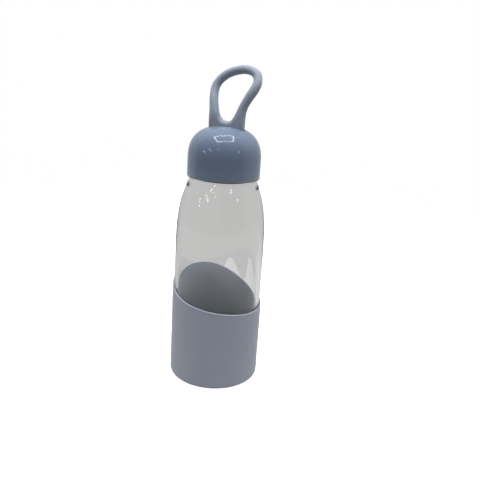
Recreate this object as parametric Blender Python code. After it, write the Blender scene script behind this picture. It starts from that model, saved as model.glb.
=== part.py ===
"""A glass water bottle with a silicone sleeve and a dome screw cap that carries a silicone loop.

Metres, +Z up. The bottle stands on z = 0 with its axis on the Z axis. The carry loop lies in
a vertical plane through the axis, turned LOOP_TURN about it.
"""

import math

import bmesh
import bpy
from mathutils import Matrix, Vector

TAU = 2 * math.pi
ROUND_SEGMENTS = 48
FILLET_STEPS = 2
ROD_SEGMENTS = 16
SHARP_ANGLE = math.radians(40)
MERGE_DISTANCE = 1e-6
GAP = 0.0003  # clearance between pieces that touch on the real object

# Silicone sleeve: a cup whose rim height is a slanted wave around the axis.
SLEEVE_RADIUS = 0.0346
SLEEVE_WALL = 0.0010
SLEEVE_FLOOR = 0.0020
SLEEVE_HEEL = 0.0022
SLEEVE_LIP = 0.0004
SLEEVE_RECESS_RADIUS = 0.0220
SLEEVE_RECESS_DEPTH = 0.0008
RIM_HEIGHT = 0.0673
RIM_SLANT = 0.0100
RIM_SLANT_TOWARDS = math.radians(134.5)
RIM_WAVE = 0.0019
RIM_WAVE_TOWARDS = math.radians(112.0)

# Glass bottle.
GLASS_RADIUS = SLEEVE_RADIUS - SLEEVE_WALL - GAP
GLASS_WALL = 0.0026
GLASS_BASE_Z = SLEEVE_FLOOR + GAP
GLASS_FLOOR = 0.0045
GLASS_FLOOR_FILLET = 0.0040
PUNT_RADIUS = 0.0240
PUNT_DEPTH = 0.0013
SHOULDER_START_Z = 0.0900
SHOULDER_END_Z = 0.1526
SHOULDER_POWER = 3.6
SHOULDER_SCALE = 0.0074  # how far the shoulder has come in after SHOULDER_SPAN
SHOULDER_SPAN = 0.0600
SHOULDER_STEPS = 7
LEDGE_Z = 0.1540
LEDGE_STEP = 0.0010  # how far the neck's foot stands above the ledge's edge
LEDGE_WALL = 0.0016
LEDGE_FILLET = 0.0012
NECK_RADIUS = 0.0192
NECK_BORE = 0.0164
NECK_OUTER_FILLET = 0.0015
NECK_INNER_FILLET = 0.0020
MOUTH_Z = 0.1765
MOUTH_FILLET = 0.0012

# Screw thread, right-handed, six turns to the inch.
THREAD_PITCH = 0.00423
THREAD_HEIGHT = 0.0013
THREAD_ROOT_HALF = 0.0010
THREAD_CREST_HALF = 0.0005
THREAD_SUNK = 0.0008
THREAD_END_SUNK = 0.0002  # how far a ridge's crest lies inside the wall at its two ends
THREAD_STEPS = 32
THREAD_START = 0.03  # angle at which both ridges start
THREAD_FADE = 0.08  # turns over which a ridge rises from the wall
NECK_THREAD_Z = 0.1650
NECK_THREAD_TURNS = 1.6
CAP_THREAD_TURNS = 1.3

# Seal and liner inside the cap.
SEAL_Z = MOUTH_Z + GAP
SEAL_THICKNESS = 0.0016
SEAL_INNER = 0.0156
SEAL_OUTER = 0.0204
LINER_BORE = 0.0209
LINER_WALL = 0.0018
LINER_CEILING_Z = SEAL_Z + SEAL_THICKNESS + GAP
LINER_CEILING = 0.0016
LINER_TOP_FILLET = 0.0035
LINER_BOTTOM_Z = 0.1575
LINER_FLANGE_RADIUS = 0.0242
LINER_FLANGE_HEIGHT = 0.0016
PLUG_OUTER = 0.0152
PLUG_INNER = 0.0136
PLUG_REACH = 0.0032
LINER_FILLET = 0.0004

# Dome shell: a straight skirt under a superellipse.
CAP_RADIUS = 0.0265
CAP_WALL = 0.0017
CAP_BOTTOM_Z = 0.1544
CAP_STRAIGHT_TOP_Z = 0.1669
CAP_TOP_Z = 0.1910
CAP_OUTER_FILLET = 0.0008
CAP_INNER_FILLET = 0.0004
DOME_POWER = 2.55
DOME_STEPS = 10
SLOT_CUT_BELOW = 0.0085  # the slot's cutter runs from this far below the dome's top
SLOT_CUT_HEIGHT = 0.0136

# Carry loop, in its own plane: distance right of the axis, then height.
LOOP_TURN = math.radians(-22.0)
LOOP_THICKNESS = 0.0064
FOOT_LEFT = -0.0126
FOOT_RIGHT = 0.0134
FOOT_CENTRE = (FOOT_LEFT + FOOT_RIGHT) / 2
FOOT_BOTTOM_Z = LINER_CEILING_Z + LINER_CEILING + GAP
FOOT_CORNER_Z = FOOT_BOTTOM_Z + 0.0014
FOOT_EDGE_RADIUS = 0.0018
FOOT_TOP_Z = 0.1985  # below this height the outer edges are the flat foot's
SLOT_SLACK = 0.0011  # room at the foot's right end, where the slot's rim stands free
SLOT_LEFT = FOOT_LEFT - GAP
SLOT_RIGHT = FOOT_RIGHT + SLOT_SLACK
LOOP_SECTION_STEPS = 12
LOOP_STEPS_PER_STATION = 3

# Pin through the foot.
PIN_RADIUS = 0.0014
PIN_HALF_LENGTH = 0.0150
PIN_Z = 0.1842
TUNNEL_HALF_LENGTH = 0.0200

# The loop's stations: a point on the edge of the opening, the one on the outline across
# from it, and how far the loop leans back there. Counter-clockwise from the opening's bottom.
LOOP_STATIONS = (
    ((0.0006, 0.1946), (0.0004, FOOT_BOTTOM_Z), 0.0),
    ((-0.0018, 0.1951), (-0.0092, FOOT_BOTTOM_Z), 0.0),
    ((-0.0034, 0.1961), (FOOT_LEFT + 0.0004, FOOT_CORNER_Z), 0.0),
    ((-0.0048, 0.1979), (FOOT_LEFT, 0.1875), 0.0),
    ((-0.0062, 0.2016), (FOOT_LEFT - 0.0003, 0.1980), 0.0002),
    ((-0.0073, 0.2090), (FOOT_LEFT - 0.0009, 0.2085), 0.0029),
    ((-0.0069, 0.2155), (-0.0128, 0.2171), 0.0068),
    ((-0.0046, 0.2199), (-0.0094, 0.2235), 0.0094),
    ((0.0008, 0.2241), (-0.0027, 0.2291), 0.0109),
    ((0.0068, 0.2263), (0.0060, 0.2323), 0.0114),
    ((0.0128, 0.2271), (0.0150, 0.2329), 0.0110),
    ((0.0178, 0.2257), (0.0232, 0.2292), 0.0092),
    ((0.0187, 0.2222), (0.0250, 0.2222), 0.0056),
    ((0.0165, 0.2181), (0.0228, 0.2157), 0.0030),
    ((0.0131, 0.2127), (0.0187, 0.2096), 0.0015),
    ((0.0097, 0.2065), (0.0154, 0.2040), 0.0007),
    ((0.0069, 0.2004), (0.0138, 0.1975), 0.0002),
    ((0.0050, 0.1969), (FOOT_RIGHT, 0.1875), 0.0),
    ((0.0038, 0.1955), (FOOT_RIGHT - 0.0004, FOOT_CORNER_Z), 0.0),
    ((0.0024, 0.1948), (0.0100, FOOT_BOTTOM_Z), 0.0),
)

# Each material's colour, roughness, metallic and transmission.
FINISHES = {
    "sleeve_silicone": ((0.20, 0.22, 0.26), 0.70, 0.0, 0.0),
    "clear_glass": ((0.95, 0.96, 0.96), 0.03, 0.0, 1.0),
    "seal_silicone": ((0.80, 0.80, 0.78), 0.50, 0.0, 0.0),
    "liner_plastic": ((0.75, 0.75, 0.74), 0.45, 0.0, 0.0),
    "cap_plastic": ((0.12, 0.16, 0.24), 0.12, 0.0, 0.0),
    "strap_silicone": ((0.22, 0.26, 0.33), 0.60, 0.0, 0.0),
    "pin_steel": ((0.60, 0.60, 0.60), 0.35, 1.0, 0.0),
}


def clear_scene():
    for thing in list(bpy.data.objects):
        bpy.data.objects.remove(thing, do_unlink=True)


def material(name):
    colour, roughness, metallic, transmission = FINISHES[name]
    made = bpy.data.materials.new(name)
    made.use_nodes = True
    shader = made.node_tree.nodes["Principled BSDF"]
    shader.inputs["Base Color"].default_value = (*colour, 1.0)
    shader.inputs["Roughness"].default_value = roughness
    shader.inputs["Metallic"].default_value = metallic
    shader.inputs["Transmission Weight"].default_value = transmission
    return made


def solid(name, bm, finish=None):
    """An object from a closed bmesh, with its faces pointing out."""
    bmesh.ops.recalc_face_normals(bm, faces=bm.faces)
    mesh = bpy.data.meshes.new(name)
    bm.to_mesh(mesh)
    bm.free()
    made = bpy.data.objects.new(name, mesh)
    bpy.context.scene.collection.objects.link(made)
    if finish:
        mesh.materials.append(finish)
        mesh.shade_smooth()
        mesh.set_sharp_from_angle(angle=SHARP_ANGLE)
    return made


def boolean(target, other, operation):
    """Joins another object to a target or cuts it away, and hides that other object."""
    change = target.modifiers.new(operation.lower() + "_" + other.name, "BOOLEAN")
    change.object = other
    change.operation = operation
    change.solver = "EXACT"
    other.hide_render = True
    other.display_type = "WIRE"


def rounded(corners):
    """An outline from (radius, height, fillet) corners, with an arc at each filleted one."""
    outline = []
    count = len(corners)
    for i, (r, z, fillet) in enumerate(corners):
        here = Vector((r, z))
        if not fillet:
            outline.append(here)
            continue
        before = (Vector(corners[i - 1][:2]) - here).normalized()
        after = (Vector(corners[(i + 1) % count][:2]) - here).normalized()
        half = before.angle(after) / 2
        centre = here + (before + after).normalized() * fillet / math.sin(half)
        start = here + before * fillet / math.tan(half) - centre
        end = here + after * fillet / math.tan(half) - centre
        for step in range(FILLET_STEPS + 1):
            outline.append(centre + fillet * start.slerp(end, step / FILLET_STEPS))
    return outline


def turned(name, outline, finish):
    """A round solid from its outline, which may start and end on the axis."""
    bm = bmesh.new()
    points = [bm.verts.new((p.x, 0.0, p.y)) for p in outline]
    edges = [bm.edges.new(pair) for pair in zip(points, points[1:])]
    if outline[0].x > 0:
        edges.append(bm.edges.new((points[-1], points[0])))
    bmesh.ops.spin(
        bm, geom=points + edges, axis=(0, 0, 1), cent=(0, 0, 0), angle=TAU, steps=ROUND_SEGMENTS
    )
    bmesh.ops.remove_doubles(bm, verts=bm.verts, dist=MERGE_DISTANCE)
    return solid(name, bm, finish)


def ridge(name, wall_radius, direction, first_z, turns):
    """A thread ridge that stands direction (1 out, -1 in) from a wall and fades at its ends."""
    bm = bmesh.new()
    rings = []
    steps = round(turns * THREAD_STEPS)
    for step in range(steps + 1):
        turn = step * turns / steps
        fade = min(1.0, turn / THREAD_FADE, (turns - turn) / THREAD_FADE)
        crest = wall_radius + direction * (THREAD_HEIGHT * fade - THREAD_END_SUNK * (1 - fade))
        root = wall_radius - direction * THREAD_SUNK
        middle = first_z + turn * THREAD_PITCH
        section = (
            (root, middle - THREAD_ROOT_HALF),
            (crest, middle - THREAD_CREST_HALF),
            (crest, middle + THREAD_CREST_HALF),
            (root, middle + THREAD_ROOT_HALF),
        )
        angle = THREAD_START + turn * TAU
        rings.append(
            [bm.verts.new((r * math.cos(angle), r * math.sin(angle), z)) for r, z in section]
        )
    for one, two in zip(rings, rings[1:]):
        for i in range(4):
            bm.faces.new((one[i], one[(i + 1) % 4], two[(i + 1) % 4], two[i]))
    bm.faces.new(rings[0])
    bm.faces.new(rings[-1])
    return solid(name, bm)


def silicone_sleeve(finish):
    """A thin cup. Its rim points follow the wave around the axis."""
    inner = SLEEVE_RADIUS - SLEEVE_WALL
    corners = (
        (0, SLEEVE_RECESS_DEPTH, 0),
        (SLEEVE_RECESS_RADIUS, SLEEVE_RECESS_DEPTH, 0),
        (SLEEVE_RECESS_RADIUS + SLEEVE_RECESS_DEPTH, 0, 0),
        (SLEEVE_RADIUS, 0, SLEEVE_HEEL),
        (SLEEVE_RADIUS, RIM_HEIGHT, SLEEVE_LIP),
        (inner, RIM_HEIGHT, SLEEVE_LIP),
        (inner, SLEEVE_FLOOR, SLEEVE_HEEL + GAP),
        (0, SLEEVE_FLOOR, 0),
    )
    made = turned("silicone_sleeve", rounded(corners), finish)
    for point in made.data.vertices:
        if point.co.z > RIM_HEIGHT / 2:
            angle = math.atan2(point.co.y, point.co.x)
            point.co.z += RIM_SLANT * math.cos(angle - RIM_SLANT_TOWARDS)
            point.co.z += RIM_WAVE * math.cos(2 * (angle - RIM_WAVE_TOWARDS))
    return made


def shoulder_radius(z):
    risen = max(0.0, z - SHOULDER_START_Z) / SHOULDER_SPAN
    return GLASS_RADIUS - SHOULDER_SCALE * risen**SHOULDER_POWER


def shoulder_wall(z):
    """The glass thins evenly from the body's wall to the ledge's."""
    part = (z - SHOULDER_START_Z) / (SHOULDER_END_Z - SHOULDER_START_Z)
    return GLASS_WALL + (LEDGE_WALL - GLASS_WALL) * part


def glass_bottle(finish):
    """The glass: base with a push-up, straight body, shoulder, ledge and threaded neck."""
    inner = GLASS_RADIUS - GLASS_WALL
    floor = GLASS_BASE_Z + GLASS_FLOOR
    rise = (SHOULDER_END_Z - SHOULDER_START_Z) / SHOULDER_STEPS
    levels = [SHOULDER_START_Z + rise * i for i in range(SHOULDER_STEPS + 1)]
    outside = [(shoulder_radius(z), z, 0) for z in levels]
    walls = [(z, shoulder_wall(z)) for z in levels[:-1]]
    inside = [(shoulder_radius(z) - wall, z - wall / 2, 0) for z, wall in walls]
    ledge = shoulder_radius(LEDGE_Z) - LEDGE_STEP
    corners = [
        (0, GLASS_BASE_Z + PUNT_DEPTH, 0),
        (PUNT_RADIUS - PUNT_DEPTH, GLASS_BASE_Z + PUNT_DEPTH, 0),
        (PUNT_RADIUS, GLASS_BASE_Z, 0),
        (GLASS_RADIUS, GLASS_BASE_Z, SLEEVE_HEEL),
        *outside,
        (ledge, LEDGE_Z, 0),
        (NECK_RADIUS, LEDGE_Z + LEDGE_STEP, NECK_OUTER_FILLET),
        (NECK_RADIUS, MOUTH_Z, MOUTH_FILLET),
        (NECK_BORE, MOUTH_Z, MOUTH_FILLET),
        (NECK_BORE, LEDGE_Z + LEDGE_STEP - LEDGE_WALL, NECK_INNER_FILLET),
        (ledge - LEDGE_WALL, LEDGE_Z - LEDGE_WALL, LEDGE_FILLET),
        *reversed(inside),
        (inner, floor, GLASS_FLOOR_FILLET),
        (0, floor, 0),
    ]
    made = turned("glass_bottle", rounded(corners), finish)
    thread = ridge("neck_thread", NECK_RADIUS, 1, NECK_THREAD_Z, NECK_THREAD_TURNS)
    boolean(made, thread, "UNION")
    return made


def seal_ring(finish):
    top = SEAL_Z + SEAL_THICKNESS
    corners = (
        (SEAL_OUTER, SEAL_Z, 0),
        (SEAL_OUTER, top, 0),
        (SEAL_INNER, top, 0),
        (SEAL_INNER, SEAL_Z, 0),
    )
    return turned("seal_ring", rounded(corners), finish)


def cap_liner(finish):
    """The inner cap: a threaded cup with a plug that centres the seal and a flange."""
    ceiling_top = LINER_CEILING_Z + LINER_CEILING
    outer = LINER_BORE + LINER_WALL
    flange_top = LINER_BOTTOM_Z + LINER_FLANGE_HEIGHT
    plug_end = LINER_CEILING_Z - PLUG_REACH
    corners = (
        (0, ceiling_top, 0),
        (outer, ceiling_top, LINER_TOP_FILLET),
        (outer, flange_top, 0),
        (LINER_FLANGE_RADIUS, flange_top, 0),
        (LINER_FLANGE_RADIUS, LINER_BOTTOM_Z, LINER_FILLET),
        (LINER_BORE, LINER_BOTTOM_Z, LINER_FILLET),
        (LINER_BORE, LINER_CEILING_Z, 0),
        (PLUG_OUTER, LINER_CEILING_Z, 0),
        (PLUG_OUTER, plug_end, LINER_FILLET),
        (PLUG_INNER, plug_end, LINER_FILLET),
        (PLUG_INNER, LINER_CEILING_Z, 0),
        (0, LINER_CEILING_Z, 0),
    )
    made = turned("cap_liner", rounded(corners), finish)
    first = NECK_THREAD_Z - THREAD_PITCH / 2
    thread = ridge("liner_thread", LINER_BORE, -1, first, CAP_THREAD_TURNS)
    boolean(made, thread, "UNION")
    return made


def dome(radius, height):
    """The dome's profile from the skirt to the axis."""
    points = []
    for step in range(1, DOME_STEPS + 1):
        angle = math.pi / 2 * step / DOME_STEPS
        r = radius * max(0.0, math.cos(angle)) ** (2 / DOME_POWER)
        points.append((r, CAP_STRAIGHT_TOP_Z + height * math.sin(angle) ** (2 / DOME_POWER), 0))
    points[-1] = (0, CAP_STRAIGHT_TOP_Z + height, 0)
    return points


def cap_shell(finish):
    """The dome, open below, with a slot on top for the loop's foot."""
    height = CAP_TOP_Z - CAP_STRAIGHT_TOP_Z
    inner = CAP_RADIUS - CAP_WALL
    corners = (
        *reversed(dome(CAP_RADIUS, height)),
        (CAP_RADIUS, CAP_STRAIGHT_TOP_Z, 0),
        (CAP_RADIUS, CAP_BOTTOM_Z, CAP_OUTER_FILLET),
        (inner, CAP_BOTTOM_Z, CAP_INNER_FILLET),
        (inner, CAP_STRAIGHT_TOP_Z, 0),
        *dome(inner, height - CAP_WALL),
    )
    made = turned("cap_shell", rounded(corners), finish)
    boolean(made, slot_cutter(), "DIFFERENCE")
    return made


def slot_cutter():
    """A rounded block a little longer and wider than the loop's foot."""
    half_length = (SLOT_RIGHT - SLOT_LEFT) / 2
    half_width = LOOP_THICKNESS / 2 + GAP
    corners = (
        (half_length, half_width, FOOT_EDGE_RADIUS),
        (-half_length, half_width, FOOT_EDGE_RADIUS),
        (-half_length, -half_width, FOOT_EDGE_RADIUS),
        (half_length, -half_width, FOOT_EDGE_RADIUS),
    )
    bm = bmesh.new()
    low = bm.faces.new([bm.verts.new((p.x, p.y, 0.0)) for p in rounded(corners)])
    raised = bmesh.ops.extrude_face_region(bm, geom=[low])["geom"]
    top = [part for part in raised if isinstance(part, bmesh.types.BMVert)]
    bmesh.ops.translate(bm, verts=top, vec=(0, 0, SLOT_CUT_HEIGHT))
    made = solid("slot_cutter", bm)
    place_in_loop_plane(made, (SLOT_LEFT + SLOT_RIGHT) / 2, CAP_TOP_Z - SLOT_CUT_BELOW)
    return made


def place_in_loop_plane(made, along, z):
    """Turns an object with the loop and puts it this far right of the axis, at height z."""
    made.location = (along * math.cos(LOOP_TURN), along * math.sin(LOOP_TURN), z)
    made.rotation_euler = (0, 0, LOOP_TURN)


def between(points, index, part):
    """A point on the closed smooth curve through points (Catmull-Rom)."""
    count = len(points)
    a, b, c, d = (Vector(points[(index + k) % count]) for k in (-1, 0, 1, 2))
    return (
        2 * b
        + (c - a) * part
        + (2 * a - 5 * b + 4 * c - d) * part**2
        + (3 * b - a - 3 * c + d) * part**3
    ) / 2


def loop_section(inner, outer):
    """One section of the loop: fully round at the opening, and round or flat-edged outside."""
    half = LOOP_THICKNESS / 2
    across = (outer - inner).normalized()
    reach = min(half, (outer - inner).length / 2)
    upper = outer.y > FOOT_TOP_Z
    edge = half if upper else FOOT_EDGE_RADIUS
    shrink = reach / half if upper else 1.0
    points = []
    arcs = LOOP_SECTION_STEPS // 2
    for step in range(arcs):
        angle = math.pi * (0.5 + (step + 0.5) / arcs)
        along = reach + reach * math.cos(angle)
        points.append((inner + across * along, half * math.sin(angle)))
    for step in range(arcs):
        angle = math.pi * ((step + 0.5) / arcs - 0.5)
        side = 1 if angle > 0 else -1
        along = (-edge + edge * math.cos(angle)) * shrink
        points.append((outer + across * along, side * (half - edge) + edge * math.sin(angle)))
    return points


def carry_strap(finish):
    """The silicone loop with its flat foot, and a tunnel through the foot for the pin."""
    inner_points, outer_points, backs = zip(*LOOP_STATIONS)
    lean = [(back, 0.0) for back in backs]
    turn = Matrix.Rotation(LOOP_TURN, 3, "Z")
    bm = bmesh.new()
    rings = []
    for index in range(len(LOOP_STATIONS)):
        for step in range(LOOP_STEPS_PER_STATION):
            part = step / LOOP_STEPS_PER_STATION
            inner = between(inner_points, index, part)
            outer = between(outer_points, index, part)
            back = Vector((0, between(lean, index, part).x, 0))
            section = loop_section(inner, outer)
            rings.append(
                [bm.verts.new(turn @ Vector((p.x, off, p.y)) + back) for p, off in section]
            )
    for one, two in zip(rings, rings[1:] + rings[:1]):
        for i in range(LOOP_SECTION_STEPS):
            after = (i + 1) % LOOP_SECTION_STEPS
            bm.faces.new((one[i], one[after], two[after], two[i]))
    made = solid("carry_strap", bm, finish)
    boolean(made, rod("pin_tunnel", PIN_RADIUS + GAP, TUNNEL_HALF_LENGTH), "DIFFERENCE")
    return made


def rod(name, radius, half_length, finish=None):
    """A rod that lies along the loop's foot at the pin's height."""
    bm = bmesh.new()
    bmesh.ops.create_cone(
        bm,
        cap_ends=True,
        segments=ROD_SEGMENTS,
        radius1=radius,
        radius2=radius,
        depth=2 * half_length,
    )
    bmesh.ops.rotate(bm, verts=bm.verts, matrix=Matrix.Rotation(math.pi / 2, 3, "Y"))
    made = solid(name, bm, finish)
    place_in_loop_plane(made, FOOT_CENTRE, PIN_Z)
    return made


def build():
    clear_scene()
    silicone_sleeve(material("sleeve_silicone"))
    glass_bottle(material("clear_glass"))
    seal_ring(material("seal_silicone"))
    cap_liner(material("liner_plastic"))
    cap_shell(material("cap_plastic"))
    carry_strap(material("strap_silicone"))
    rod("strap_pin", PIN_RADIUS, PIN_HALF_LENGTH, material("pin_steel"))


build()
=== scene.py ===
"""Looks of the glass water bottle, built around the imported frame.

Every piece that shows is a fine mesh made here by the same rules as the CAD solid it stands
for: turned profiles for the sleeve, glass, liner and seal, a dome that runs out from its slot,
and a loop lofted between its opening and its outline. Metres, +Z up.
"""

import math

import bmesh
import bpy
from mathutils import Matrix, Vector

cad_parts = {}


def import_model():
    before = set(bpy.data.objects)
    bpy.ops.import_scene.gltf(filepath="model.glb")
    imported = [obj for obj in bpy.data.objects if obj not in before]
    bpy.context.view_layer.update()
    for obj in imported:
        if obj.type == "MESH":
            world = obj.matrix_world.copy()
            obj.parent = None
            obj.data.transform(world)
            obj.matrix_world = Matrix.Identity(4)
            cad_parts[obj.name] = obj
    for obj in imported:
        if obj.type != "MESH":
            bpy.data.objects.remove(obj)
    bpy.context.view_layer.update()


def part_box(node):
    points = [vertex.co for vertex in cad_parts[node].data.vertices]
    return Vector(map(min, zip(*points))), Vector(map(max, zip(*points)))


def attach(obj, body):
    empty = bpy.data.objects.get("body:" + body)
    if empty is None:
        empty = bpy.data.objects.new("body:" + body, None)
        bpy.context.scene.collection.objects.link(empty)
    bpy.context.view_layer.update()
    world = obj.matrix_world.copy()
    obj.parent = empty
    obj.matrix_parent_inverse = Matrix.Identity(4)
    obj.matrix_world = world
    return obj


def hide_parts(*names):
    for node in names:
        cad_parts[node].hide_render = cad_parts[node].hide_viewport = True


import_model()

TAU = 2 * math.pi
SEGMENTS = 192
FILLET_STEPS = 7
SMALL_FILLET_STEPS = 3
LONGEST_STEP = 0.0020
GUARD_STEP = 0.0003  # how close to its two ends a long run keeps a point
SHARP_ANGLE = math.radians(50)
SAME = 1e-6  # two radii this close are the same one
GAP = 0.0003  # clearance between pieces that touch on the real object

sleeve_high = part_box("silicone_sleeve")[1]
glass_low, glass_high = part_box("glass_bottle")
shell_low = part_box("cap_shell")[0]
liner_low, liner_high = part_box("cap_liner")
seal_low, seal_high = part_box("seal_ring")

# Silicone sleeve.
SLEEVE_RADIUS = sleeve_high.x
SLEEVE_WALL = 0.0010
SLEEVE_FLOOR = 0.0020
SLEEVE_HEEL = 0.0022
SLEEVE_RECESS_RADIUS = 0.0220
SLEEVE_RECESS_DEPTH = 0.0008
SLEEVE_LIP = 0.00045
RIM_HEIGHT = 0.0673
RIM_SLANT = 0.0100
RIM_SLANT_TOWARDS = math.radians(134.5)
RIM_WAVE = 0.0019
RIM_WAVE_TOWARDS = math.radians(112.0)
RIM_EASE = (0.0300, 0.0520)  # heights between which the wall starts to follow the rim

# Glass bottle.
GLASS_RADIUS = SLEEVE_RADIUS - SLEEVE_WALL - GAP
GLASS_WALL = 0.0026
GLASS_BASE_Z = glass_low.z
GLASS_FLOOR = 0.0045
GLASS_FLOOR_FILLET = 0.0040
PUNT_RADIUS = 0.0240
PUNT_DEPTH = 0.0013
PUNT_TOP_FILLET = 0.0010
PUNT_EDGE_FILLET = 0.0003
SHOULDER_START_Z = 0.0900
SHOULDER_END_Z = 0.1526
SHOULDER_POWER = 3.6
SHOULDER_SCALE = 0.0074  # how far the shoulder has come in after SHOULDER_SPAN
SHOULDER_SPAN = 0.0600
SHOULDER_LEVELS = 40
SHOULDER_LEFT_OFF = 3  # top levels where the inner face makes room for the ledge's fillet
LEDGE_Z = 0.1540
LEDGE_STEP = 0.0010  # how far the neck's foot stands above the ledge's edge
LEDGE_WALL = 0.0013
LEDGE_OUTER_FILLET = 0.0014
LEDGE_INNER_FILLET = 0.0008
NECK_RADIUS = 0.0192
NECK_BORE = 0.0164
NECK_OUTER_FILLET = 0.0015
NECK_INNER_FILLET = 0.0020
MOUTH_Z = glass_high.z
MOUTH_FILLET = 0.0012

# Screw thread.
THREAD_PITCH = 0.00423
THREAD_HEIGHT = 0.0013
THREAD_ROOT_HALF = 0.0010
THREAD_CREST_HALF = 0.0005
THREAD_START = 0.03  # angle at which both ridges start
THREAD_FADE = 0.08  # turns over which a ridge rises from its wall
THREAD_LEVEL_STEP = 0.00016
NECK_THREAD_Z = 0.1650
NECK_THREAD_TURNS = 1.6
NECK_LEVELS = (LEDGE_Z + 0.0030, MOUTH_Z - 0.0014)  # heights with rings close enough for it
CAP_THREAD_TURNS = 1.3

# Seal and liner.
SEAL_INNER = 0.0156
SEAL_FILLET = 0.0002
LINER_BORE = 0.0209
LINER_WALL = 0.0018
LINER_CEILING = 0.0016
LINER_CEILING_Z = liner_high.z - LINER_CEILING
LINER_TOP_FILLET = 0.0035
LINER_FILLET = 0.0004
LINER_FLANGE_HEIGHT = 0.0016
LINER_FLANGE_FILLET = 0.0002
LINER_NOOK_FILLET = 0.0003
LINER_LEVELS = (liner_low.z + 0.0008, LINER_CEILING_Z - 0.0004)
PLUG_OUTER = 0.0152
PLUG_INNER = 0.0136
PLUG_REACH = 0.0032

# Dome shell.
CAP_RADIUS = 0.0265
CAP_WALL = 0.0017
CAP_BOTTOM_Z = shell_low.z
CAP_STRAIGHT_TOP_Z = 0.1669
CAP_TOP_Z = 0.1910
CAP_OUTER_FILLET = 0.0008
CAP_INNER_FILLET = 0.0004
DOME_POWER = 2.55
DOME_RINGS = 44
DOME_SEGMENTS = 288
DOME_EASE_START = -0.35  # an ease cut off here sets the rings denser towards the skirt
DOME_EVEN_FROM = 0.8  # part of the way down at which a ring's points are evenly spread
SLOT_FILLET = 0.00055
SLOT_WALL_PARTS = (0.1, 0.5, 0.9)

# Carry loop.
LOOP_TURN = math.radians(-22.0)
LOOP_THICKNESS = 0.0064
FOOT_LEFT = -0.0126
FOOT_RIGHT = 0.0134
FOOT_CENTRE = (FOOT_LEFT + FOOT_RIGHT) / 2
FOOT_BOTTOM_Z = liner_high.z + GAP
FOOT_CORNER_Z = FOOT_BOTTOM_Z + 0.0014
FOOT_EDGE_RADIUS = 0.0018
FOOT_TOP_Z = 0.1985  # near this height the outer edges turn from flat to round
SLOT_SLACK = 0.0011  # room at the foot's right end, where the slot's rim stands free
SLOT_LEFT = FOOT_LEFT - GAP
SLOT_RIGHT = FOOT_RIGHT + SLOT_SLACK
LOOP_EASE = 0.0080
LOOP_SECTION_STEPS = 36
LOOP_STEPS_PER_STATION = 10

# The loop's stations: a point on the edge of the opening, the one on the outline across
# from it, and how far the loop leans back there. They start at the opening's bottom and run
# clockwise, seen from the front (-Y).
LOOP_STATIONS = (
    ((0.0006, 0.1946), (0.0004, FOOT_BOTTOM_Z), 0.0),
    ((-0.0018, 0.1951), (-0.0092, FOOT_BOTTOM_Z), 0.0),
    ((-0.0034, 0.1961), (FOOT_LEFT + 0.0004, FOOT_CORNER_Z), 0.0),
    ((-0.0048, 0.1979), (FOOT_LEFT, 0.1875), 0.0),
    ((-0.0062, 0.2016), (FOOT_LEFT - 0.0003, 0.1980), 0.0002),
    ((-0.0073, 0.2090), (FOOT_LEFT - 0.0009, 0.2085), 0.0029),
    ((-0.0069, 0.2155), (-0.0128, 0.2171), 0.0068),
    ((-0.0046, 0.2199), (-0.0094, 0.2235), 0.0094),
    ((0.0008, 0.2241), (-0.0027, 0.2291), 0.0109),
    ((0.0068, 0.2263), (0.0060, 0.2323), 0.0114),
    ((0.0128, 0.2271), (0.0150, 0.2329), 0.0110),
    ((0.0178, 0.2257), (0.0232, 0.2292), 0.0092),
    ((0.0187, 0.2222), (0.0250, 0.2222), 0.0056),
    ((0.0165, 0.2181), (0.0228, 0.2157), 0.0030),
    ((0.0131, 0.2127), (0.0187, 0.2096), 0.0015),
    ((0.0097, 0.2065), (0.0154, 0.2040), 0.0007),
    ((0.0069, 0.2004), (0.0138, 0.1975), 0.0002),
    ((0.0050, 0.1969), (FOOT_RIGHT, 0.1875), 0.0),
    ((0.0038, 0.1955), (FOOT_RIGHT - 0.0004, FOOT_CORNER_Z), 0.0),
    ((0.0024, 0.1948), (0.0100, FOOT_BOTTOM_Z), 0.0),
)

# Pin.
PIN_RADIUS = 0.0014
PIN_HALF_LENGTH = 0.0150
PIN_FILLET = 0.0003
PIN_Z = 0.1842


def smooth(value, low, high):
    """0 below low, 1 above high, and an eased rise between."""
    part = min(1.0, max(0.0, (value - low) / (high - low)))
    return part * part * (3 - 2 * part)


def finished(name, bm, material):
    """An object from a closed bmesh: faces out, shaded smooth but for true corners."""
    bmesh.ops.recalc_face_normals(bm, faces=bm.faces)
    mesh = bpy.data.meshes.new(name)
    bm.to_mesh(mesh)
    bm.free()
    mesh.materials.append(material)
    mesh.shade_smooth()
    mesh.set_sharp_from_angle(angle=SHARP_ANGLE)
    made = bpy.data.objects.new(name, mesh)
    bpy.context.scene.collection.objects.link(made)
    return made


def rounded(corners, steps=FILLET_STEPS):
    """An outline from (radius, height, fillet) corners, with an arc at each filleted one."""
    outline = []
    count = len(corners)
    for i, (r, z, fillet) in enumerate(corners):
        here = Vector((r, z))
        if not fillet:
            outline.append(here)
            continue
        before = (Vector(corners[i - 1][:2]) - here).normalized()
        after = (Vector(corners[(i + 1) % count][:2]) - here).normalized()
        half = before.angle(after) / 2
        centre = here + (before + after).normalized() * fillet / math.sin(half)
        start = here + before * fillet / math.tan(half) - centre
        end = here + after * fillet / math.tan(half) - centre
        for step in range(steps + 1):
            outline.append(centre + fillet * start.slerp(end, step / steps))
    return outline


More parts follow.
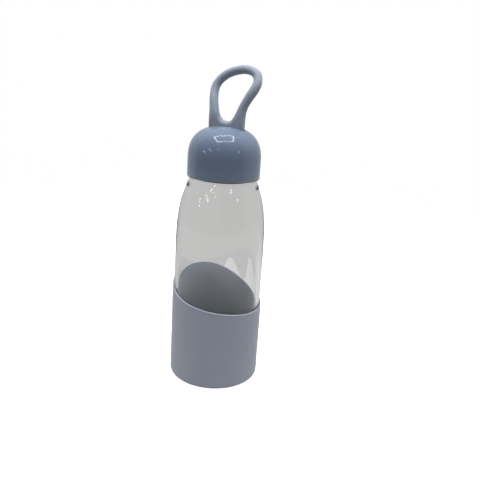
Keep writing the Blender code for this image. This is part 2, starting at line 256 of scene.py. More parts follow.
def dense(outline):
    """The outline with its long runs divided, and a short step kept beside each corner."""
    points = [outline[0]]
    for one, two in zip(outline, outline[1:]):
        length = (two - one).length
        if length > LONGEST_STEP:
            guard = GUARD_STEP / length
            parts = max(1, round(length / LONGEST_STEP))
            points.append(one.lerp(two, guard))
            points.extend(one.lerp(two, i / parts) for i in range(1, parts))
            points.append(one.lerp(two, 1 - guard))
        points.append(two)
    return points


def turned(name, outline, material, shift=None):
    """A round solid from its outline. Shift moves a point from its angle, radius and height."""
    bm = bmesh.new()
    columns = []
    closed = outline[0].x > 0
    poles = {}
    for step in range(SEGMENTS):
        angle = TAU * step / SEGMENTS
        column = []
        for index, point in enumerate(outline):
            r, z = point
            if r <= 0:
                if index not in poles:
                    poles[index] = bm.verts.new((0, 0, z))
                column.append(poles[index])
                continue
            if shift:
                r, z = shift(angle, r, z)
            column.append(bm.verts.new((r * math.cos(angle), r * math.sin(angle), z)))
        columns.append(column)
    rows = len(outline)
    last = rows if closed else rows - 1
    for one, two in zip(columns, columns[1:] + columns[:1]):
        for i in range(last):
            after = (i + 1) % rows
            corners = []
            for vert in (one[i], one[after], two[after], two[i]):
                if vert not in corners:
                    corners.append(vert)
            bm.faces.new(corners)
    return finished(name, bm, material)


def tube(name, rings, material):
    """A closed ring of closed sections."""
    bm = bmesh.new()
    placed = [[bm.verts.new(point) for point in ring] for ring in rings]
    count = len(rings[0])
    for one, two in zip(placed, placed[1:] + placed[:1]):
        for i in range(count):
            after = (i + 1) % count
            bm.faces.new((one[i], one[after], two[after], two[i]))
    return finished(name, bm, material)


# ---------------------------------------------------------------- pieces


def sleeve_rim(angle, r, z):
    """The sleeve's upper part follows its slanted, waved rim."""
    rise = RIM_SLANT * math.cos(angle - RIM_SLANT_TOWARDS)
    rise += RIM_WAVE * math.cos(2 * (angle - RIM_WAVE_TOWARDS))
    return r, z + rise * smooth(z, *RIM_EASE)


def sleeve_piece(material):
    inner = SLEEVE_RADIUS - SLEEVE_WALL
    corners = (
        (0, SLEEVE_RECESS_DEPTH, 0),
        (SLEEVE_RECESS_RADIUS, SLEEVE_RECESS_DEPTH, 0),
        (SLEEVE_RECESS_RADIUS + SLEEVE_RECESS_DEPTH, 0, 0),
        (SLEEVE_RADIUS, 0, SLEEVE_HEEL),
        (SLEEVE_RADIUS, RIM_HEIGHT, SLEEVE_LIP),
        (inner, RIM_HEIGHT, SLEEVE_LIP),
        (inner, SLEEVE_FLOOR, SLEEVE_HEEL + GAP),
        (0, SLEEVE_FLOOR, 0),
    )
    return turned("sleeve_skin", dense(rounded(corners)), material, sleeve_rim)


def shoulder_radius(z):
    risen = max(0.0, z - SHOULDER_START_Z) / SHOULDER_SPAN
    return GLASS_RADIUS - SHOULDER_SCALE * risen**SHOULDER_POWER


def shoulder_wall(z):
    """The glass thins from the body's wall to the ledge's."""
    return GLASS_WALL + (LEDGE_WALL - GLASS_WALL) * smooth(z, SHOULDER_START_Z, SHOULDER_END_Z)


def thread_height(angle, z, first_z, turns):
    """How far the helical ridge stands from its wall at this angle and height."""
    height = 0.0
    for whole in range(math.ceil(turns)):
        turn = (angle - THREAD_START) / TAU + whole
        if 0 <= turn <= turns:
            fade = min(1.0, turn / THREAD_FADE, (turns - turn) / THREAD_FADE)
            away = abs(z - first_z - turn * THREAD_PITCH)
            height = max(height, fade * (1 - smooth(away, THREAD_CREST_HALF, THREAD_ROOT_HALF)))
    return height * THREAD_HEIGHT


def glass_thread(angle, r, z):
    if abs(r - NECK_RADIUS) < SAME and z > LEDGE_Z:
        return r + thread_height(angle, z, NECK_THREAD_Z, NECK_THREAD_TURNS), z
    return r, z


def liner_thread(angle, r, z):
    if abs(r - LINER_BORE) < SAME:
        first = NECK_THREAD_Z - THREAD_PITCH / 2
        return r - thread_height(angle, z, first, CAP_THREAD_TURNS), z
    return r, z


def thread_levels(low, high):
    """Heights between low and high, close enough for the thread's ridge."""
    count = round((high - low) / THREAD_LEVEL_STEP)
    return [low + (high - low) * i / count for i in range(1, count)]


def glass_piece(material):
    inner = GLASS_RADIUS - GLASS_WALL
    floor_z = GLASS_BASE_Z + GLASS_FLOOR
    edge = shoulder_radius(LEDGE_Z) - LEDGE_STEP
    rise = SHOULDER_END_Z - SHOULDER_START_Z
    heights = [SHOULDER_START_Z + rise * i / SHOULDER_LEVELS for i in range(SHOULDER_LEVELS + 1)]
    outside = [(shoulder_radius(z), z, 0) for z in heights]
    inside = [
        (shoulder_radius(z) - shoulder_wall(z), z - shoulder_wall(z) / 2, 0)
        for z in heights[:-SHOULDER_LEFT_OFF]
    ]
    corners = [
        (0, GLASS_BASE_Z + PUNT_DEPTH, 0),
        (PUNT_RADIUS - PUNT_DEPTH, GLASS_BASE_Z + PUNT_DEPTH, PUNT_TOP_FILLET),
        (PUNT_RADIUS, GLASS_BASE_Z, PUNT_EDGE_FILLET),
        (GLASS_RADIUS, GLASS_BASE_Z, SLEEVE_HEEL),
        *outside,
        (edge, LEDGE_Z, LEDGE_OUTER_FILLET),
        (NECK_RADIUS, LEDGE_Z + LEDGE_STEP, NECK_OUTER_FILLET),
        *((NECK_RADIUS, z, 0) for z in thread_levels(*NECK_LEVELS)),
        (NECK_RADIUS, MOUTH_Z, MOUTH_FILLET),
        (NECK_BORE, MOUTH_Z, MOUTH_FILLET),
        (NECK_BORE, LEDGE_Z + LEDGE_STEP - LEDGE_WALL, NECK_INNER_FILLET),
        (edge - LEDGE_WALL, LEDGE_Z - LEDGE_WALL, LEDGE_INNER_FILLET),
        *reversed(inside),
        (inner, floor_z, GLASS_FLOOR_FILLET),
        (0, floor_z, 0),
    ]
    return turned("bottle_glass", dense(rounded(corners)), material, glass_thread)


def seal_piece(material):
    corners = (
        (seal_high.x, seal_low.z, SEAL_FILLET),
        (seal_high.x, seal_high.z, SEAL_FILLET),
        (SEAL_INNER, seal_high.z, SEAL_FILLET),
        (SEAL_INNER, seal_low.z, SEAL_FILLET),
    )
    return turned("seal_washer", dense(rounded(corners, SMALL_FILLET_STEPS)), material)


def liner_piece(material):
    """The threaded inner cap: a flange below, and a plug that hangs from its ceiling."""
    outer = LINER_BORE + LINER_WALL
    bottom = liner_low.z
    flange_top = bottom + LINER_FLANGE_HEIGHT
    plug_end = LINER_CEILING_Z - PLUG_REACH
    corners = (
        (0, liner_high.z, 0),
        (outer, liner_high.z, LINER_TOP_FILLET),
        (outer, flange_top, LINER_NOOK_FILLET),
        (liner_high.x, flange_top, LINER_FLANGE_FILLET),
        (liner_high.x, bottom, LINER_FILLET),
        (LINER_BORE, bottom, LINER_FILLET),
        *((LINER_BORE, z, 0) for z in thread_levels(*LINER_LEVELS)),
        (LINER_BORE, LINER_CEILING_Z, 0),
        (PLUG_OUTER, LINER_CEILING_Z, 0),
        (PLUG_OUTER, plug_end, LINER_FILLET),
        (PLUG_INNER, plug_end, LINER_FILLET),
        (PLUG_INNER, LINER_CEILING_Z, 0),
        (0, LINER_CEILING_Z, 0),
    )
    return turned("liner_cap", dense(rounded(corners)), material, liner_thread)


def slot_outline(grow):
    """Even points around the slot's rounded outline, grown outwards by grow."""
    half_length = (SLOT_RIGHT - SLOT_LEFT) / 2 + grow
    centre = (SLOT_LEFT + SLOT_RIGHT) / 2
    half_width = LOOP_THICKNESS / 2 + GAP + grow
    corner = FOOT_EDGE_RADIUS + GAP + grow
    x, y = half_length - corner, half_width - corner
    quarter = math.pi / 2
    arc = quarter * corner
    runs = (
        (y, lambda d: (half_length, d)),
        (arc, lambda d: arc_point((x, y), corner, d / corner)),
        (2 * x, lambda d: (x - d, half_width)),
        (arc, lambda d: arc_point((-x, y), corner, quarter + d / corner)),
        (2 * y, lambda d: (-half_length, y - d)),
        (arc, lambda d: arc_point((-x, -y), corner, 2 * quarter + d / corner)),
        (2 * x, lambda d: (d - x, -half_width)),
        (arc, lambda d: arc_point((x, -y), corner, d / corner - quarter)),
        (y, lambda d: (half_length, d - y)),
    )
    whole = sum(length for length, _ in runs)
    points = []
    for step in range(DOME_SEGMENTS):
        along = whole * step / DOME_SEGMENTS
        for length, place in runs:
            if along <= length:
                right, back = place(along)
                points.append((right + centre, back))
                break
            along -= length
    return points


def arc_point(centre, radius, angle):
    return centre[0] + radius * math.cos(angle), centre[1] + radius * math.sin(angle)


def dome_ring(outline, radius, height, part):
    """A ring on the dome, part of the way from the slot's outline down to the skirt."""
    ring = []
    for index, (x, y) in enumerate(outline):
        start = math.acos(min(1.0, (math.hypot(x, y) / radius) ** (DOME_POWER / 2)))
        slope = start * (1 - part)
        near = math.atan2(y, x) % TAU
        even = TAU * index / DOME_SEGMENTS
        if near - even > math.pi:
            near -= TAU
        angle = near + (even - near) * smooth(part, 0.0, DOME_EVEN_FROM) + LOOP_TURN
        r = radius * math.cos(slope) ** (2 / DOME_POWER)
        z = CAP_STRAIGHT_TOP_Z + height * math.sin(slope) ** (2 / DOME_POWER)
        ring.append(Vector((r * math.cos(angle), r * math.sin(angle), z)))
    return ring


def slot_ring(outline, heights):
    """A ring that hangs at the slot's outline at the given heights."""
    turn = Matrix.Rotation(LOOP_TURN, 3, "Z")
    return [turn @ Vector((x, y, z)) for (x, y), z in zip(outline, heights)]


def skirt_ring(r, z):
    angles = (TAU * i / DOME_SEGMENTS + LOOP_TURN for i in range(DOME_SEGMENTS))
    return [Vector((r * math.cos(a), r * math.sin(a), z)) for a in angles]


def shell_piece(material):
    """The dome: outer face from slot to skirt, edge, inner face back, then the slot's wall."""
    height = CAP_TOP_Z - CAP_STRAIGHT_TOP_Z
    inner = CAP_RADIUS - CAP_WALL
    parts = [smooth(i / DOME_RINGS, DOME_EASE_START, 1.0) for i in range(DOME_RINGS + 1)]
    parts = [(p - parts[0]) / (1 - parts[0]) for p in parts]
    wide = slot_outline(SLOT_FILLET)
    rings = [dome_ring(wide, CAP_RADIUS, height, part) for part in parts]
    edge = rounded(
        (
            (CAP_RADIUS, CAP_STRAIGHT_TOP_Z, 0),
            (CAP_RADIUS, CAP_BOTTOM_Z, CAP_OUTER_FILLET),
            (inner, CAP_BOTTOM_Z, CAP_INNER_FILLET),
            (inner, CAP_STRAIGHT_TOP_Z, 0),
        )
    )
    rings.extend(skirt_ring(*point) for point in dense(edge)[1:-1])
    narrow = slot_outline(0.0)
    below = [dome_ring(narrow, inner, height - CAP_WALL, part) for part in parts]
    rings.extend(reversed(below))
    rim = [point.z for point in rings[0]]
    low = [point.z for point in below[0]]
    for part in SLOT_WALL_PARTS:
        heights = [a + (b - SLOT_FILLET - a) * part for a, b in zip(low, rim)]
        rings.append(slot_ring(narrow, heights))
    for step in range(FILLET_STEPS):
        angle = math.pi / 2 * step / FILLET_STEPS
        out = slot_outline(SLOT_FILLET * (1 - math.cos(angle)))
        rings.append(slot_ring(out, [z - SLOT_FILLET * (1 - math.sin(angle)) for z in rim]))
    return tube("dome_shell", rings, material)


def between(points, index, part):
    """A point on the closed smooth curve through points (Catmull-Rom)."""
    count = len(points)
    a, b, c, d = (Vector(points[(index + k) % count]) for k in (-1, 0, 1, 2))
    return (
        2 * b
        + (c - a) * part
        + (2 * a - 5 * b + 4 * c - d) * part**2
        + (3 * b - a - 3 * c + d) * part**3
    ) / 2


def loop_section(inner, outer):
    """One section of the loop: round at the opening, flat-edged at the foot, round above."""
    half = LOOP_THICKNESS / 2
    across = (outer - inner).normalized()
    reach = min(half, (outer - inner).length / 2)
    rise = smooth(outer.y, FOOT_TOP_Z - LOOP_EASE / 2, FOOT_TOP_Z + LOOP_EASE)
    edge = FOOT_EDGE_RADIUS + (reach - FOOT_EDGE_RADIUS) * rise
    points = []
    arcs = LOOP_SECTION_STEPS // 2
    for step in range(arcs):
        angle = math.pi * (0.5 + (step + 0.5) / arcs)
        place = inner + across * reach * (1 + math.cos(angle))
        points.append((place, half * math.sin(angle)))
    for step in range(arcs):
        angle = math.pi * ((step + 0.5) / arcs - 0.5)
        side = 1 if angle > 0 else -1
        tall = edge + (half - edge) * rise
        along = -edge + edge * math.cos(angle)
        points.append((outer + across * along, side * (half - tall) + tall * math.sin(angle)))
    return points


def loop_piece(material):
    """The loop, lofted around its opening. It leans back from its foot's upright plane."""
    inner_points, outer_points, backs = zip(*LOOP_STATIONS)
    lean = [(back, 0.0) for back in backs]
    turn = Matrix.Rotation(LOOP_TURN, 3, "Z")
    rings = []
    for index in range(len(LOOP_STATIONS)):
        for step in range(LOOP_STEPS_PER_STATION):
            part = step / LOOP_STEPS_PER_STATION
            inner = between(inner_points, index, part)
            outer = between(outer_points, index, part)
            back = Vector((0, between(lean, index, part).x, 0))
            section = loop_section(inner, outer)
            rings.append([turn @ Vector((p.x, off, p.y)) + back for p, off in section])
    return tube("carry_loop", rings, material)


def pin_piece(material):
    """A steel rod with rounded ends, through the loop's foot."""
    corners = (
        (0, -PIN_HALF_LENGTH, 0),
        (PIN_RADIUS, -PIN_HALF_LENGTH, PIN_FILLET),
        (PIN_RADIUS, PIN_HALF_LENGTH, PIN_FILLET),
        (0, PIN_HALF_LENGTH, 0),
    )
    made = turned("loop_pin", dense(rounded(corners, SMALL_FILLET_STEPS)), material)
    made.data.transform(Matrix.Translation((0, 0, FOOT_CENTRE)))
    made.data.transform(Matrix.Rotation(math.pi / 2, 4, "Y"))
    made.data.transform(Matrix.Rotation(LOOP_TURN, 4, "Z"))
    made.data.transform(Matrix.Translation((0, 0, PIN_Z)))
    return made


# ---------------------------------------------------------------- materials

WHOLE = (0.0, 1.0)
CLOUD = (0.35, 0.65)  # the span of a noise that a slow change of colour is drawn from
SKIN = (0.3, 0.7)  # the span of a noise that a fine mottle is drawn from
SPECK_SCALE = 75.0
SPECK_SIZE = 0.035
SPECK_CORE = 0.6  # part of a speck's size inside which it is at full strength
SPECK_DARKNESS = 0.35

SLEEVE_LIGHT = (0.250, 0.271, 0.326)
SLEEVE_DARK = (0.242, 0.263, 0.317)
SLEEVE_SPECKS = 0.55
LOOP_LIGHT = (0.196, 0.228, 0.286)
LOOP_DARK = (0.189, 0.220, 0.276)
LOOP_SPECKS = 0.0
DOME_LIGHT = (0.106, 0.140, 0.204)
DOME_DARK = (0.101, 0.134, 0.195)
SEAL_WHITE = (0.80, 0.80, 0.78)
LINER_WHITE = (0.74, 0.75, 0.75)
PIN_GREY = (0.60, 0.60, 0.61)


def new_material(name, settings):
    made = bpy.data.materials.new(name)
    made.use_nodes = True
    shader = made.node_tree.nodes["Principled BSDF"]
    for socket, value in settings.items():
        shader.inputs[socket].default_value = value
    return made, made.node_tree, shader


def noise(tree, scale, detail=2.0, roughness=0.5):
    place = tree.nodes.new("ShaderNodeTexCoord")
    made = tree.nodes.new("ShaderNodeTexNoise")
    made.inputs["Scale"].default_value = scale
    made.inputs["Detail"].default_value = detail
    made.inputs["Roughness"].default_value = roughness
    tree.links.new(place.outputs["Object"], made.inputs["Vector"])
    return made.outputs["Fac"]


def remap(tree, value, span, new_span):
    """A value that runs over span, made to run over new_span and held at its ends."""
    made = tree.nodes.new("ShaderNodeMapRange")
    made.inputs["From Min"].default_value, made.inputs["From Max"].default_value = span
    made.inputs["To Min"].default_value, made.inputs["To Max"].default_value = new_span
    tree.links.new(value, made.inputs["Value"])
    return made.outputs["Result"]


def blended(tree, factor, one, two):
    """A colour between one and two; either may be a colour or another node's output."""
    made = tree.nodes.new("ShaderNodeMix")
    made.data_type = "RGBA"
    tree.links.new(factor, made.inputs["Factor"])
    for socket, colour in (("A", one), ("B", two)):
        target = next(s for s in made.inputs if s.name == socket and s.type == "RGBA")
        if isinstance(colour, tuple):
            target.default_value = (*colour, 1.0)
        else:
            tree.links.new(colour, target)
    return next(s for s in made.outputs if s.type == "RGBA")


def math_node(tree, operation, *values):
    """A Math node's result. Each value is a number or another node's output."""
    made = tree.nodes.new("ShaderNodeMath")
    made.operation = operation
    for socket, value in zip(made.inputs, values):
        if isinstance(value, float):
            socket.default_value = value
        else:
            tree.links.new(value, socket)
    return made.outputs[0]


def dotted(tree, vector, direction):
    """How far a vector runs along a fixed direction."""
    made = tree.nodes.new("ShaderNodeVectorMath")
    made.operation = "DOT_PRODUCT"
    made.inputs[1].default_value = direction
    tree.links.new(vector, made.inputs[0])
    return made.outputs["Value"]


def bump(tree, shader, height, distance, strength):
    made = tree.nodes.new("ShaderNodeBump")
    made.inputs["Distance"].default_value = distance
    made.inputs["Strength"].default_value = strength
    tree.links.new(height, made.inputs["Height"])
    tree.links.new(made.outputs["Normal"], shader.inputs["Normal"])


def specks(tree):
    """1 inside a few small dots scattered over the surface, 0 elsewhere."""
    place = tree.nodes.new("ShaderNodeTexCoord")
    cells = tree.nodes.new("ShaderNodeTexVoronoi")
    cells.inputs["Scale"].default_value = SPECK_SCALE
    tree.links.new(place.outputs["Object"], cells.inputs["Vector"])
    edge = (SPECK_SIZE, SPECK_SIZE * SPECK_CORE)
    return remap(tree, cells.outputs["Distance"], edge, WHOLE)


def silicone(name, light, dark, speck_strength):
    """Matt moulded silicone: cloudy colour, a fine skin, and a few specks of lint."""
    made, tree, shader = new_material(
        name,
        {
            "Roughness": 0.62,
            "IOR": 1.42,
            "Specular IOR Level": 0.45,
            "Sheen Weight": 0.12,
            "Sheen Roughness": 0.55,
        },
    )
    cloud = remap(tree, noise(tree, 55.0, 4.0, 0.6), CLOUD, WHOLE)
    colour = blended(tree, cloud, dark, light)
    dots = math_node(tree, "MULTIPLY", specks(tree), speck_strength)
    lint = tuple(SPECK_DARKNESS * c for c in dark)
    tree.links.new(blended(tree, dots, colour, lint), shader.inputs["Base Color"])
    rough = remap(tree, noise(tree, 420.0, 3.0), SKIN, (0.56, 0.70))
    tree.links.new(rough, shader.inputs["Roughness"])
    bump(tree, shader, noise(tree, 2600.0, 3.0, 0.6), 0.00004, 0.6)
    return made


def gloss_plastic(name, light, dark):
    """Polished moulded plastic with a clear skin and a trace of flow marks."""
    made, tree, shader = new_material(
        name,
        {
            "Roughness": 0.22,
            "IOR": 1.50,
            "Coat Weight": 0.35,
            "Coat Roughness": 0.03,
            "Coat IOR": 1.5,
        },
    )
    cloud = remap(tree, noise(tree, 30.0, 3.0), CLOUD, WHOLE)
    tree.links.new(blended(tree, cloud, dark, light), shader.inputs["Base Color"])
    rough = remap(tree, noise(tree, 900.0, 2.0), SKIN, (0.10, 0.15))
    tree.links.new(rough, shader.inputs["Roughness"])
    bump(tree, shader, noise(tree, 45.0, 1.0), 0.00006, 0.10)
    return made


def clear_glass(name):
    """Clear glass with a faint grey tint and the slow waviness of a blown wall."""
    made, tree, shader = new_material(
        name,
        {
            "Base Color": (0.975, 0.975, 0.97, 1.0),
            "Roughness": 0.0,
            "IOR": 1.47,
            "Transmission Weight": 1.0,
        },
    )
    bump(tree, shader, noise(tree, 24.0, 1.0), 0.00025, 0.20)
    return made


def plain_material(name, colour, roughness, metallic=0.0):
    """A moulded or machined surface with a fine mottle in its colour and skin."""
    made, tree, shader = new_material(name, {"Metallic": metallic})
    mottle = remap(tree, noise(tree, 260.0, 3.0), SKIN, WHOLE)
    lower = tuple(0.93 * c for c in colour)
    tree.links.new(blended(tree, mottle, lower, colour), shader.inputs["Base Color"])
    spread = (roughness - 0.05, roughness + 0.05)
    rough = remap(tree, noise(tree, 700.0, 2.0), SKIN, spread)
    tree.links.new(rough, shader.inputs["Roughness"])
    bump(tree, shader, noise(tree, 1800.0, 2.0), 0.00002, 0.4)
    return made


# ---------------------------------------------------------------- stage

# Camera.
CAMERA_PLACE = Vector((0.0, -0.36389, 0.21121))
CAMERA_TARGET = Vector((0.01525, 0.00208, 0.10688))
CAMERA_ROLL = 0.06517
CAMERA_LENS = 37.5
CAMERA_SENSOR = 36.0
CAMERA_NEAREST = 0.01

# What the glass shows of the studio, and the soft light on the rest.
BACKDROP = 0.56
SIDE_BACKDROP = 0.46
BACKDROP_TOWARDS = (180, -10)
BACKDROP_SPAN = (0.2, 0.8)
INNER_LIGHT = 3.5  # what lights the silicone through the glass
FRONT_TOWARDS = (-10, 8)
SIDE_LIGHT = 0.92
FRONT_LIGHT = 0.16
LIGHT_SPAN = (0.0, 0.6)
ZENITH_LIGHT = 7.3
ZENITH_SPAN = (0.80, 0.92)

# What glossy surfaces reflect: panels at the sides and overhead, and a pale ground.
SIDE_GLOSS = 0.50
FRONT_GLOSS = 0.22
GLOSS_SPAN = (-0.1, 0.70)
LOW_GLOSS = 0.80
LOW_SPAN = (-0.145, -0.19)
LEFT_PANEL_AZIMUTH = -98
RIGHT_PANEL_AZIMUTH = 65
OVERHEAD_PANEL_RISE = 0.86
PANEL_SPAN = (-0.04, 0.04)
PANEL_STEP = 0.40

# Floor.
FLOOR_RADIUS = 0.85
FLOOR_SIDES = 96
FLOOR_DARK = (0.60, 0.60, 0.60)
FLOOR_PALE = (0.62, 0.62, 0.62)
FLOOR_GLOW = 0.60  # lifts the floor to white for the eye
FLOOR_GLOSS = 0.60
FLOOR_LIGHT = 0.60
FLOOR_LEVEL = 0.55
# a painted pool of light on the floor behind the bottle, seen only through the glass
FLOOR_PAINTED_LIGHT_LEVEL = 0.72
FLOOR_PAINTED_LIGHT_Y = 0.242  # the painted pool of light ends here, on a waved edge
FLOOR_EDGE_SPAN = (0.004, -0.004)
FLOOR_SIDE_SPAN = (0.002, 0.008)
FLOOR_WAVE = 0.036
FLOOR_WAVE_LENGTH = 0.046
FLOOR_WAVE_X = 0.020

# Lamps: a square ring overhead, and short strips around the front.
RING_CORNERS = ((-0.46, -0.02, 1.0), (0.26, 0.12, 1.0), (0.40, -0.44, 1.0), (-0.41, -0.61, 1.0))
RING_WIDTH = 0.045
RING_RADIANCE = 11.0
STRIP_DISTANCE = 1.2
STRIP_WIDTH = 0.03
STRIP_RADIANCE = 9.0
STRIPS = (  # azimuth, elevation and tilt in degrees, then length
    (-21, 24, 0, 0.10),
    (-47, 19, -35, 0.26),
    (-66, 10, -35, 0.20),
    (47, 18, 35, 0.08),
)


def unit(azimuth, elevation):
    """A direction: azimuth in degrees from -Y towards +X, then elevation in degrees."""
    turn, rise = math.radians(azimuth), math.radians(elevation)
    flat = math.cos(rise)
    return Vector((flat * math.sin(turn), -flat * math.cos(turn), math.sin(rise)))


def camera():
    data = bpy.data.cameras.new("view")
    data.sensor_width = CAMERA_SENSOR
    data.lens = CAMERA_LENS
    data.clip_start = CAMERA_NEAREST
    look = (CAMERA_TARGET - CAMERA_PLACE).normalized()
    level = look.cross(Vector((0, 0, 1))).normalized()
    above = level.cross(look)
    right = math.cos(CAMERA_ROLL) * level + math.sin(CAMERA_ROLL) * above
    up = right.cross(look)
    made = bpy.data.objects.new("view", data)
    bpy.context.scene.collection.objects.link(made)
    rotation = Matrix((right, up, -look)).transposed().to_4x4()
    made.matrix_world = Matrix.Translation(CAMERA_PLACE) @ rotation
    bpy.context.scene.camera = made


def chosen(tree, factor, one, two):
    """Between two numbers, each a number or another node's output."""
    made = tree.nodes.new("ShaderNodeMix")
    made.data_type = "FLOAT"
    tree.links.new(factor, made.inputs[0])
    for socket, value in ((made.inputs[2], one), (made.inputs[3], two)):
        if isinstance(value, float):
            socket.default_value = value
        else:
            tree.links.new(value, socket)
    return made.outputs[0]


def floor():
    """A white disc: white to the eye, and a mid grey to the glass and in reflections, with a
    painted pool of light behind the bottle that only the glass shows.
    """
    mesh = bpy.data.meshes.new("floor")
    angles = [TAU * i / FLOOR_SIDES for i in range(FLOOR_SIDES)]
    ring = [(FLOOR_RADIUS * math.cos(a), FLOOR_RADIUS * math.sin(a), 0) for a in angles]
    mesh.from_pydata(ring, [], [tuple(range(FLOOR_SIDES))])
    mesh.materials.append(floor_material())
    made = bpy.data.objects.new("floor", mesh)
    bpy.context.scene.collection.objects.link(made)


def floor_material():
    made, tree, shader = new_material(
        "floor_white",
        {
            "Roughness": 0.9,
            "Specular IOR Level": 0.0,
            "Emission Color": (1.0, 1.0, 1.0, 1.0),
            "Emission Strength": FLOOR_GLOW,
        },
    )
    grain = remap(tree, noise(tree, 12.0, 3.0), SKIN, WHOLE)
    tree.links.new(blended(tree, grain, FLOOR_DARK, FLOOR_PALE), shader.inputs["Base Color"])
    grey = tree.nodes.new("ShaderNodeEmission")
    path = tree.nodes.new("ShaderNodeLightPath")
    level = chosen(tree, path.outputs["Is Glossy Ray"], FLOOR_LIGHT, FLOOR_GLOSS)
    level = chosen(tree, path.outputs["Is Transmission Ray"], level, floor_seen_with_painted_light(tree))
    tree.links.new(level, grey.inputs["Strength"])
    choice = tree.nodes.new("ShaderNodeMixShader")
    tree.links.new(path.outputs["Is Camera Ray"], choice.inputs[0])
    tree.links.new(grey.outputs[0], choice.inputs[1])
    tree.links.new(shader.outputs[0], choice.inputs[2])
    tree.links.new(choice.outputs[0], tree.nodes["Material Output"].inputs["Surface"])
    return made


def floor_seen_with_painted_light(tree):
    """How bright the floor is through the glass: a painted pool of light, paler close behind it,
    with a waved edge.
    """
    place = tree.nodes.new("ShaderNodeTexCoord")
    spot = tree.nodes.new("ShaderNodeSeparateXYZ")
    tree.links.new(place.outputs["Object"], spot.inputs[0])
    turn = math_node(tree, "SUBTRACT", spot.outputs["X"], FLOOR_WAVE_X)
    turn = math_node(tree, "MULTIPLY", turn, TAU / FLOOR_WAVE_LENGTH)
    wave = math_node(tree, "MULTIPLY", math_node(tree, "COSINE", turn), FLOOR_WAVE)
    edge = math_node(tree, "ADD", wave, FLOOR_PAINTED_LIGHT_Y)
    past = math_node(tree, "SUBTRACT", spot.outputs["Y"], edge)
    near = remap(tree, past, FLOOR_EDGE_SPAN, WHOLE)
    right = remap(tree, spot.outputs["X"], FLOOR_SIDE_SPAN, WHOLE)
    # painted pool of light: the floor is paler here for rays that come through the glass
    painted_light_mask = math_node(tree, "MULTIPLY", near, right)
    return remap(tree, painted_light_mask, WHOLE, (FLOOR_LEVEL, FLOOR_PAINTED_LIGHT_LEVEL))


def reflected_level(tree, way, facing, rise):
    """What a glossy surface reflects: panels beside and above it, dimmer in front, pale below."""
    left = dotted(tree, way, unit(LEFT_PANEL_AZIMUTH - 90, 0))
    right = dotted(tree, way, unit(RIGHT_PANEL_AZIMUTH + 90, 0))
    over = math_node(tree, "SUBTRACT", rise, OVERHEAD_PANEL_RISE)
    panel = math_node(tree, "MAXIMUM", math_node(tree, "MAXIMUM", left, right), over)
    outer = remap(tree, panel, PANEL_SPAN, (PANEL_STEP, 1.0))
    inner = remap(tree, facing, GLOSS_SPAN, (SIDE_GLOSS, FRONT_GLOSS))
    below = remap(tree, rise, LOW_SPAN, (0.0, LOW_GLOSS))
    return math_node(tree, "ADD", math_node(tree, "MULTIPLY", outer, inner), below)


def lit_level(tree, facing, rise):
    """What lights the matt surfaces: soft from the sides, less from in front, more from above."""
    soft = remap(tree, facing, LIGHT_SPAN, (SIDE_LIGHT, FRONT_LIGHT))
    above = remap(tree, rise, ZENITH_SPAN, (0.0, ZENITH_LIGHT))
    return math_node(tree, "ADD", soft, above)


def world():
    """A white studio: plain white to the eye, and its own level for each other kind of ray.

    Rays that come through the glass find a grey backdrop, or a bright one where they light
    the silicone inside it.
    """
    made = bpy.data.worlds.new("studio")
    bpy.context.scene.world = made
    made.use_nodes = True
    tree = made.node_tree
    back = tree.nodes["Background"]
    way = tree.nodes.new("ShaderNodeTexCoord").outputs["Generated"]
    height = tree.nodes.new("ShaderNodeSeparateXYZ")
    tree.links.new(way, height.inputs[0])
    rise = height.outputs["Z"]
    facing = dotted(tree, way, unit(*FRONT_TOWARDS))
    path = tree.nodes.new("ShaderNodeLightPath")
    lit = lit_level(tree, facing, rise)
    gloss = reflected_level(tree, way, facing, rise)
    level = chosen(tree, path.outputs["Is Glossy Ray"], lit, gloss)
    ahead = dotted(tree, way, unit(*BACKDROP_TOWARDS))
    backdrop = remap(tree, ahead, BACKDROP_SPAN, (SIDE_BACKDROP, BACKDROP))
    inside = remap(tree, path.outputs["Diffuse Depth"], WHOLE, WHOLE)
    through = chosen(tree, inside, backdrop, INNER_LIGHT)
    level = chosen(tree, path.outputs["Is Transmission Ray"], level, through)
    level = chosen(tree, path.outputs["Is Camera Ray"], level, 1.0)
    tree.links.new(level, back.inputs["Strength"])
    back.inputs["Color"].default_value = (1.0, 1.0, 1.0, 1.0)


def strip_light(name, centre, along, facing, length, width, radiance):
    """A long thin lamp that faces a point."""
    data = bpy.data.lights.new(name, "AREA")
    data.shape = "RECTANGLE"
    data.size = length
    data.size_y = width
    data.energy = radiance * math.pi * length * width
    made = bpy.data.objects.new(name, data)
    bpy.context.scene.collection.objects.link(made)
    away = (centre - facing).normalized()
    side = (along - along.dot(away) * away).normalized()
    rotation = Matrix((side, away.cross(side), away)).transposed().to_4x4()
    made.matrix_world = Matrix.Translation(centre) @ rotation


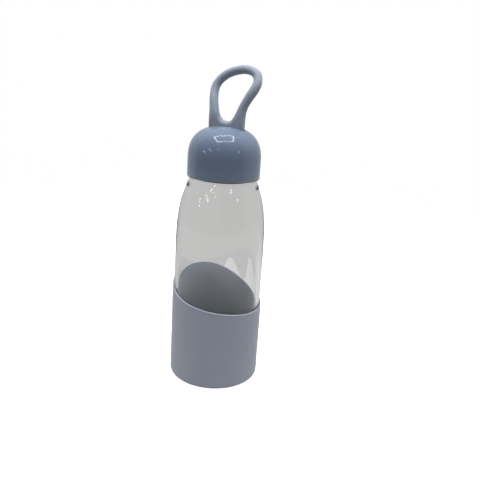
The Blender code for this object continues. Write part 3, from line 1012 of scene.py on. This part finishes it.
def lights():
    """A ring of four strips high above the dome, and shorter strips around its front."""
    target = Vector((0, 0, CAP_TOP_Z))
    corners = [target + Vector(corner) for corner in RING_CORNERS]
    for i, (one, two) in enumerate(zip(corners, corners[1:] + corners[:1])):
        side = two - one
        middle = (one + two) / 2
        strip_light(f"ring_{i}", middle, side, target, side.length, RING_WIDTH, RING_RADIANCE)
    for i, (azimuth, elevation, tilt, length) in enumerate(STRIPS):
        away = unit(azimuth, elevation)
        side = away.cross(Vector((0, 0, 1))).normalized()
        along = Matrix.Rotation(math.radians(tilt), 3, away) @ side
        place = target + STRIP_DISTANCE * away
        strip_light(f"lamp_{i}", place, along, target, length, STRIP_WIDTH, STRIP_RADIANCE)


def build():
    looks = {
        "silicone_sleeve": silicone(
            "sleeve_matt_silicone", SLEEVE_LIGHT, SLEEVE_DARK, SLEEVE_SPECKS
        ),
        "glass_bottle": clear_glass("bottle_clear_glass"),
        "seal_ring": plain_material("seal_soft_silicone", SEAL_WHITE, roughness=0.5),
        "cap_liner": plain_material("liner_moulded_plastic", LINER_WHITE, roughness=0.42),
        "cap_shell": gloss_plastic("dome_gloss_plastic", DOME_LIGHT, DOME_DARK),
        "carry_strap": silicone("loop_matt_silicone", LOOP_LIGHT, LOOP_DARK, LOOP_SPECKS),
        "strap_pin": plain_material("pin_brushed_steel", PIN_GREY, roughness=0.30, metallic=1.0),
    }
    makers = (
        ("silicone_sleeve", sleeve_piece, "sleeve", "sleeve_silicone"),
        ("glass_bottle", glass_piece, "bottle", "clear_glass"),
        ("seal_ring", seal_piece, "seal", "seal_silicone"),
        ("cap_liner", liner_piece, "cap", "liner_plastic"),
        ("cap_shell", shell_piece, "cap", "cap_plastic"),
        ("carry_strap", loop_piece, "cap", "strap_silicone"),
        ("strap_pin", pin_piece, "cap", "pin_steel"),
    )
    for node, make, body, slot in makers:
        piece = make(looks[node])
        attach(piece, body)
        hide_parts(node)


build()
floor()
world()
lights()
camera()
bpy.context.scene.view_settings.view_transform = "Standard"
